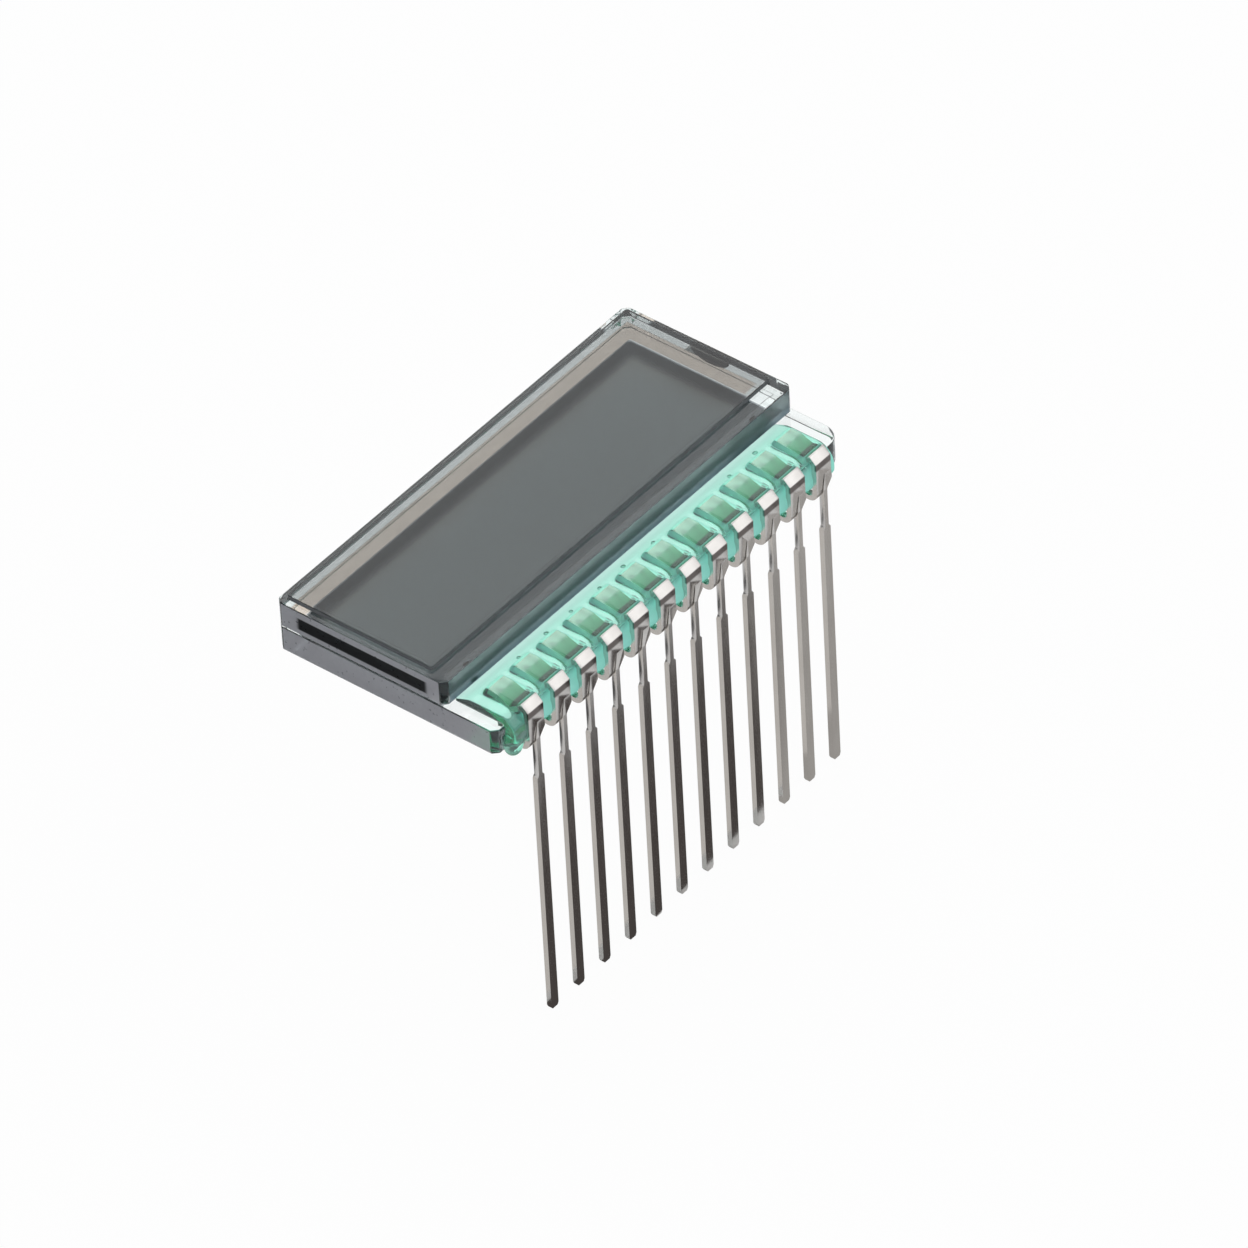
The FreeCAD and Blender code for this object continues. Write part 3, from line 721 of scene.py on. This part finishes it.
# %% [markdown]
# The bead itself is one section in the YZ plane: along the ledge to the wall, back over the top, and
# down to the skirt in front of the glass edge. Each clip adds a mound with leaning ends, and a ball at
# the left end is the drop that ran down there. The steps from here on are: stack, fuse, trap the
# bubbles, and pull the front in between the clips, where the liquid clings to the metal at both sides.

# %% Resin bead
SINK = 0.03
MOUND_FOOT = 0.34 * MM
MOUND_FLARE = 0.45
MENISCUS = 0.14 * MM
DROP_RADII = (0.42 * MM, 0.36 * MM, 0.55 * MM)


def bead_section():
    """The bead's outline from the glass edge and the ledge, in millimetres; it sinks a little into both."""
    nose, skirt, wall = resin_low.y / MM - edge_y, resin_low.z / MM - ledge_z, wall_y - edge_y
    on_ledge = [(SINK, skirt + 0.05), (SINK, -SINK), (wall + SINK, -SINK)]
    top = [(wall + SINK, 0.13), (wall - 0.2, 0.21), (wall - 0.6, 0.38), (0.15, 0.40), (-0.15, 0.26)]
    front = [(nose + 0.1, -0.05), (nose, -0.4), (nose, skirt + 0.35), (nose + 0.25, skirt)]
    return [above_ledge(*point) for point in on_ledge + top + front]


def mound_section():
    """The outline of the resin over one toe, from the same two places."""
    toe = TOE_Y / MM - edge_y
    outline = [(-0.12, 0), (toe + 0.35, 0), (toe + 0.12, 0.68), (0.8, 0.70), (-0.12, 0.60)]
    return [above_ledge(*point) for point in outline]


def pull_in_menisci(bm):
    """Moves the front of the bead back between two clips, most in the middle."""
    for vertex in bm.verts:
        along = vertex.co.x - pin_x[0]
        in_row = 0 < along < pin_x[-1] - pin_x[0]
        if in_row and vertex.co.y < EDGE_Y - 0.2 * MM and vertex.co.z < LEDGE_Z + 0.3 * MM:
            vertex.co.y += MENISCUS * max(0.0, math.sin(math.pi * (along / PITCH % 1))) ** 2


def resin_bead():
    bm = bmesh.new()
    ridge(bm, bead_section(), RESIN_LEFT, RESIN_RIGHT)
    reach = CLIP_WIDTH / 2 + MOUND_FOOT
    for middle in pin_x:
        ridge(bm, mound_section(), middle - reach, middle + reach, flare=MOUND_FLARE)
    drop = (resin_low.x + DROP_RADII[0], EDGE_Y - 0.2 * MM, LEDGE_Z - 0.85 * MM)
    ball(bm, drop, DROP_RADII)
    fused = remesh(bm, "resin", VOXEL, SMOOTHING)
    trap_bubbles(fused)
    pull_in_menisci(fused)
    return add_piece("resin_cast", fused, [resin_finish], node="resin_bead",
                     smooth_angle=60, flat_first=False)


resin_bead()

# %% [markdown]
# The set: a white table just under the tips of the leads. The lens sees it as plain white, also through
# the glass, and what is left of its own shading keeps a soft shadow under the object.

# %% Table
table = Palette("white_table")
table.set(Base_Color=colour(0.9, 0.9, 0.9), Roughness=0.9, Specular_IOR_Level=0.1)


def white_to_the_lens(palette, share):
    """Mixes plain white into a finish for the rays that show it as background."""
    direct = palette.node("ShaderNodeLightPath", {}, {}, output="Is Camera Ray")
    through = palette.node("ShaderNodeLightPath", {}, {}, output="Is Transmission Ray")
    white = palette.node("ShaderNodeEmission", {}, {"Color": colour(1, 1, 1), "Strength": 1.0})
    plain = Value(palette, palette.shader.outputs[0])
    palette.finish(shader_mix(palette, direct.maximum(through) * share, plain, white), "Surface")


def sheet_of(name, palette, width, depth_y, centre, turn=0.0):
    """A flat sheet of the set, which isn't part of the object."""
    bm = bmesh.new()
    size = Matrix.Diagonal((width, depth_y, 1, 1))
    matrix = Matrix.Translation(centre) @ Matrix.Rotation(turn, 4, "Z") @ size
    bmesh.ops.create_grid(bm, x_segments=1, y_segments=1, size=0.5, matrix=matrix)
    mesh = bpy.data.meshes.new(name)
    bm.to_mesh(mesh)
    bm.free()
    mesh.materials.append(palette.material)
    sheet = bpy.data.objects.new(name, mesh)
    bpy.context.scene.collection.objects.link(sheet)
    return sheet


white_to_the_lens(table, 0.96)
sheet_of("table", table, 3.0, 3.0, (0, 0, -0.02 * MM))

# %% [markdown]
# Shiny leads on white paper look like paper. Photographers lay cards just in front of such metal,
# outside the picture, so that each side of a lead mirrors one. Here the cards can lie right under the
# lens, because only reflected rays are allowed to see them. The dark card is mirrored by the faces at
# the front, the pale one by the same faces of the last leads, the grey one by the faces at the left,
# and the end card by the left ends of the glass. Each shows a plain tone and lights nothing.

# %% Cards
def mirrored_card(name, tone, low, high, turn, lift=0.0):
    """A card between two corners in millimetres, that only reflected rays can see."""
    finish = Palette(name)
    finish.set(Base_Color=colour(0, 0, 0), Specular_IOR_Level=0.0)
    finish.set(Emission_Color=tone, Emission_Strength=1.0)
    width, depth = high[0] - low[0], high[1] - low[1]
    middle = [(first + last) / 2 * MM for first, last in zip(low, high)]
    centre = (*middle, (lift - 0.01) * MM)
    card = sheet_of(name, finish, width * MM, depth * MM, centre, math.radians(turn))
    card.visible_camera = card.visible_diffuse = card.visible_transmission = card.visible_shadow = False


mirrored_card("dark_card", colour(0.078, 0.069, 0.067), (-24, -9.0), (16, -0.05), -4)
mirrored_card("grey_card", colour(0.62, 0.605, 0.59), (-24, 0.6), (9, 12), 0)
mirrored_card("pale_card", colour(0.42, 0.41, 0.40), (5.4, -7.7), (25.4, 2.3), -40.8, lift=0.005)
mirrored_card("end_card", colour(0.05, 0.05, 0.055), (-32, 12.1), (-14, 27), 0)

# %% [markdown]
# Soft light: a dome that is dark at the horizon and pale overhead, and three panels. The one at the
# front right is what the clips mirror as their bright slopes, the one at the back is mirrored by the
# glass, and the one at the left lights the ends of the plates.

# %% Light
world = bpy.data.worlds.new("dome")
bpy.context.scene.world = world
world.use_nodes = True
sky = world.node_tree
HORIZON, ZENITH = colour(0.10, 0.10, 0.11), colour(0.75, 0.76, 0.78)
direction = sky.nodes.new("ShaderNodeTexCoord").outputs["Generated"]
split = sky.nodes.new("ShaderNodeSeparateXYZ")
ramp = sky.nodes.new("ShaderNodeValToRGB")
for stop, (position, tone) in zip(ramp.color_ramp.elements, ((0.02, HORIZON), (0.95, ZENITH))):
    stop.position, stop.color = position, tone
sky.links.new(direction, split.inputs[0])
sky.links.new(split.outputs["Z"], ramp.inputs["Fac"])
sky.links.new(ramp.outputs["Color"], sky.nodes["Background"].inputs["Color"])


def panel(name, direction, distance, size, brightness):
    """A square light panel that looks at the object; a brightness of 1 mirrors as white."""
    light = bpy.data.lights.new(name, "AREA")
    light.shape = "SQUARE"
    light.size = size
    light.energy = brightness * math.pi * size ** 2
    lamp = bpy.data.objects.new(name, light)
    target = Vector((0, 4 * MM, 10 * MM))
    towards = Vector(direction).normalized()
    lamp.location = target + towards * distance
    lamp.rotation_euler = towards.to_track_quat("Z", "Y").to_euler()
    bpy.context.scene.collection.objects.link(lamp)


panel("key_panel", (0.57, -0.67, 0.50), 0.35, 0.26, 0.9)
panel("back_panel", (0.60, 0.49, 0.72), 0.40, 0.34, 0.95)
panel("left_panel", (-0.85, -0.3, 0.5), 0.40, 0.22, 1.0)

# %% [markdown]
# The camera stands where the photographer's did. Its direction, tilt and distance were fitted to the
# corners of the glass and to the row of clips, and the long lens keeps the edges nearly parallel.

# %% Camera
AZIMUTH, ELEVATION, ROLL = (math.radians(a) for a in (-49.30, 41.34, -3.26))
DISTANCE = 511.6 * MM
TARGET = Vector((0.027, 2.732, 10.931)) * MM
FOCAL = 411.7
back = Vector((math.sin(AZIMUTH) * math.cos(ELEVATION), -math.cos(AZIMUTH) * math.cos(ELEVATION),
               math.sin(ELEVATION)))
level = (-back).cross(Vector((0, 0, 1))).normalized()
lens_up = level.cross(-back)
right_hand = level * math.cos(ROLL) + lens_up * math.sin(ROLL)
overhead = lens_up * math.cos(ROLL) - level * math.sin(ROLL)
lens = bpy.data.cameras.new("camera")
lens.lens, lens.sensor_width, lens.clip_start, lens.clip_end = FOCAL, 36, 0.05, 20
camera = bpy.data.objects.new("camera", lens)
bpy.context.scene.collection.objects.link(camera)
turn = Matrix((right_hand, overhead, back)).transposed().to_4x4()
camera.matrix_world = Matrix.Translation(TARGET + back * DISTANCE) @ turn
bpy.context.scene.camera = camera
bpy.context.scene.view_settings.view_transform = "Standard"
